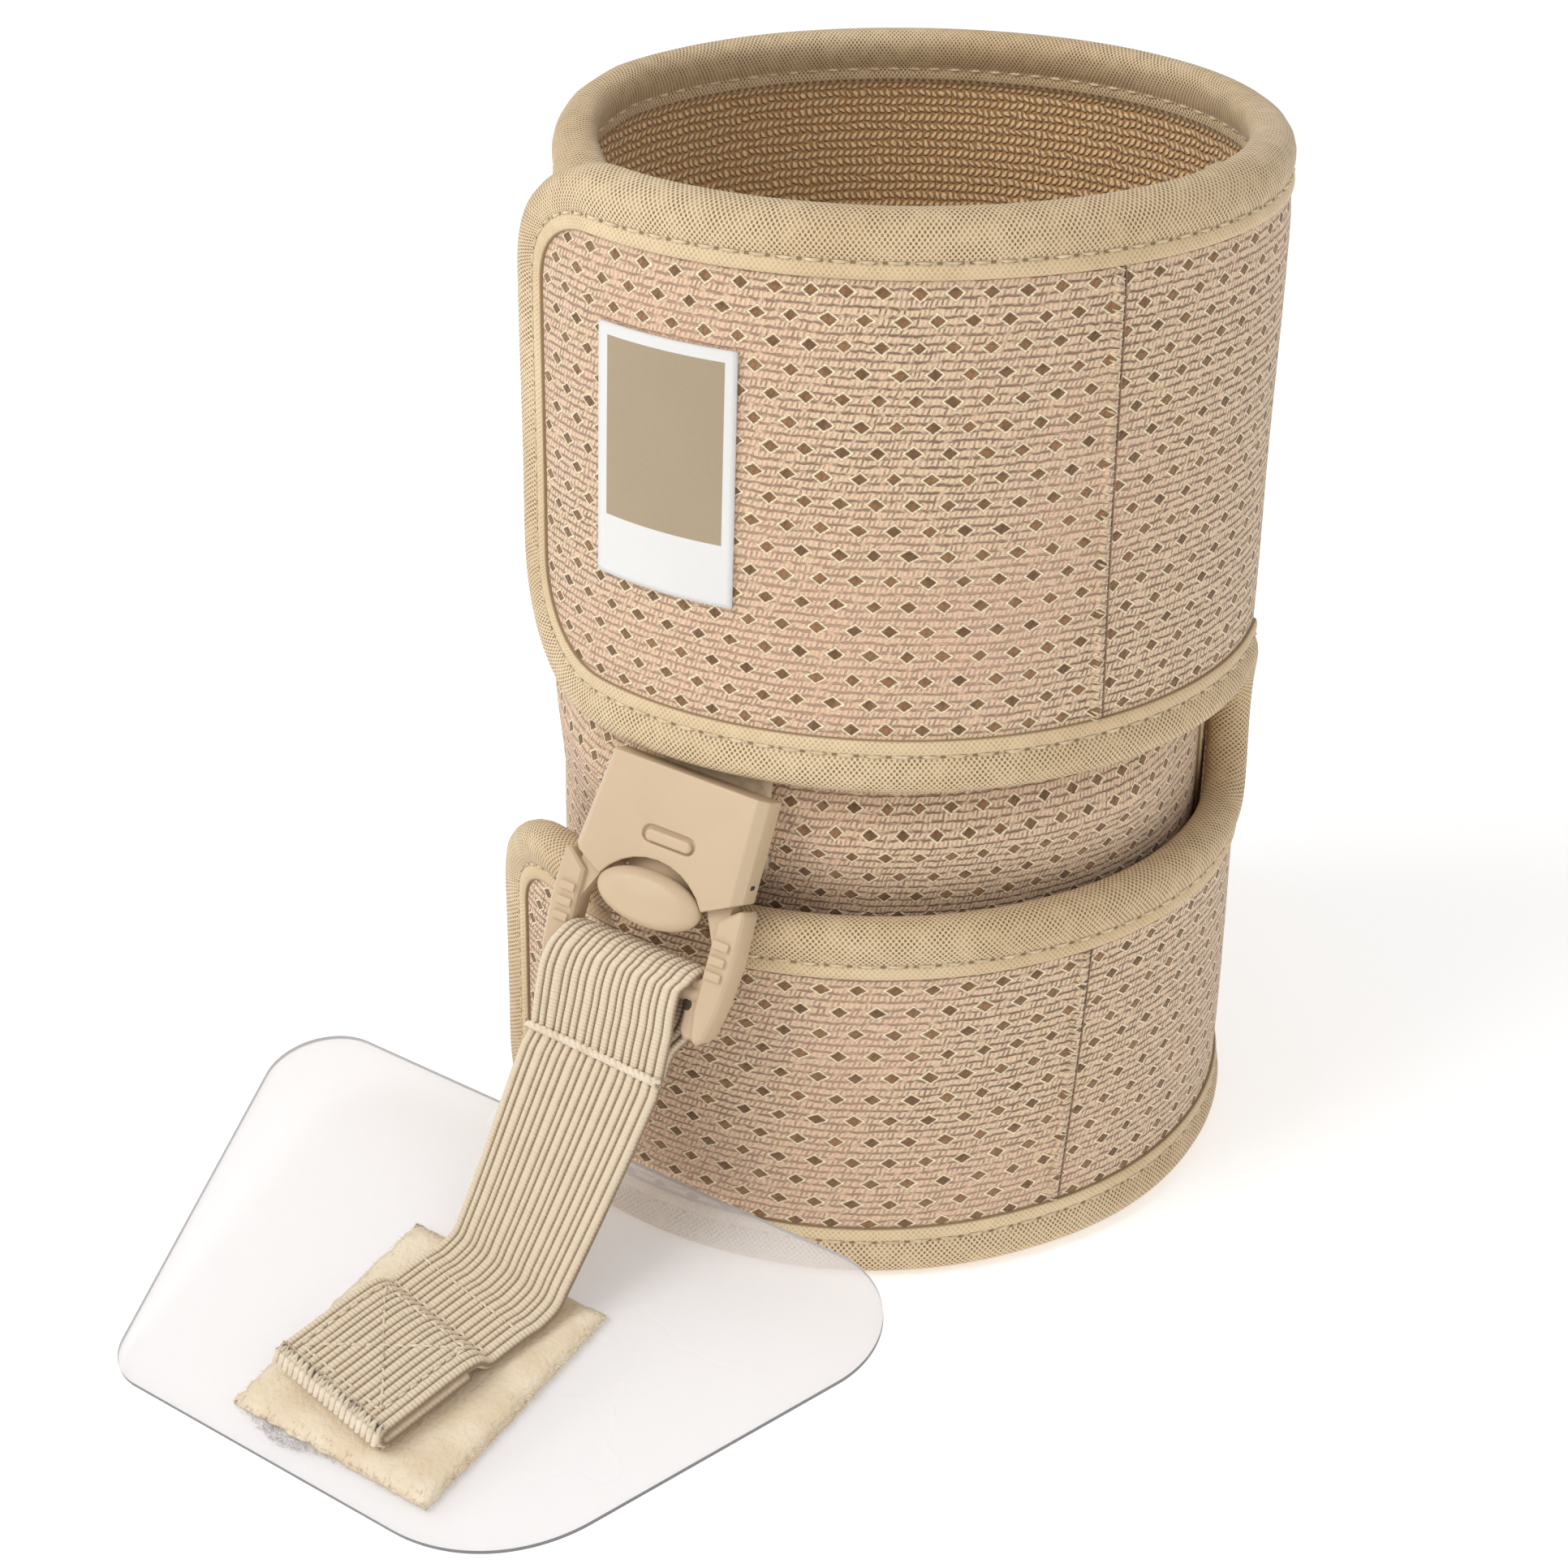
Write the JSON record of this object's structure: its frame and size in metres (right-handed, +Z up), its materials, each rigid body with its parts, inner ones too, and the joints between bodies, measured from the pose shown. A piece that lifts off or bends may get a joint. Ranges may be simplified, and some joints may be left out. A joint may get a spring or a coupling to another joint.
{
  "type": "drop foot brace",
  "caption": "Soft ankle wrap with two overlapping flaps, a release buckle on an elastic strap, and a clear plate that goes in a shoe.",
  "frame": {"origin": "centre of the brace's box in plan, on the floor it stands on", "axes": "+Z up along the ankle; -Y towards the toes, where the clear plate lies; +X to the right seen from the toes' side behind the plate"},
  "size_m": [0.1016, 0.1582, 0.132],
  "materials": {
    "spacer_mesh": "open knit",
    "terry": "looped pile",
    "binding_tape": "woven",
    "beige_plastic": "satin moulded",
    "elastic": "ribbed elastic",
    "hook_tape": "fuzzy",
    "clear_sheet": "translucent sheet",
    "print": "printed patch"
  },
  "bodies": {
    "brace": {"wrap_mesh": "spacer_mesh", "terry_lining": "terry", "edge_binding": "binding_tape", "buckle_anchor": "elastic", "buckle_housing": "beige_plastic", "ladder_frame": "beige_plastic", "elastic_strap": "elastic", "hook_pad": "hook_tape", "inlay_plate": "clear_sheet", "front_label": "print"},
    "button": {"release_button": "beige_plastic"}
  },
  "joints": [
    {"name": "button_press", "type": "hinge", "parent": "brace", "child": "button", "pos_m": [0.00566, -0.01355, 0.05684], "axis": [0.9897, 0.128, -0.0637], "range_deg": [0, 6], "stiffness_Nm_per_rad": 0.5}
  ]
}
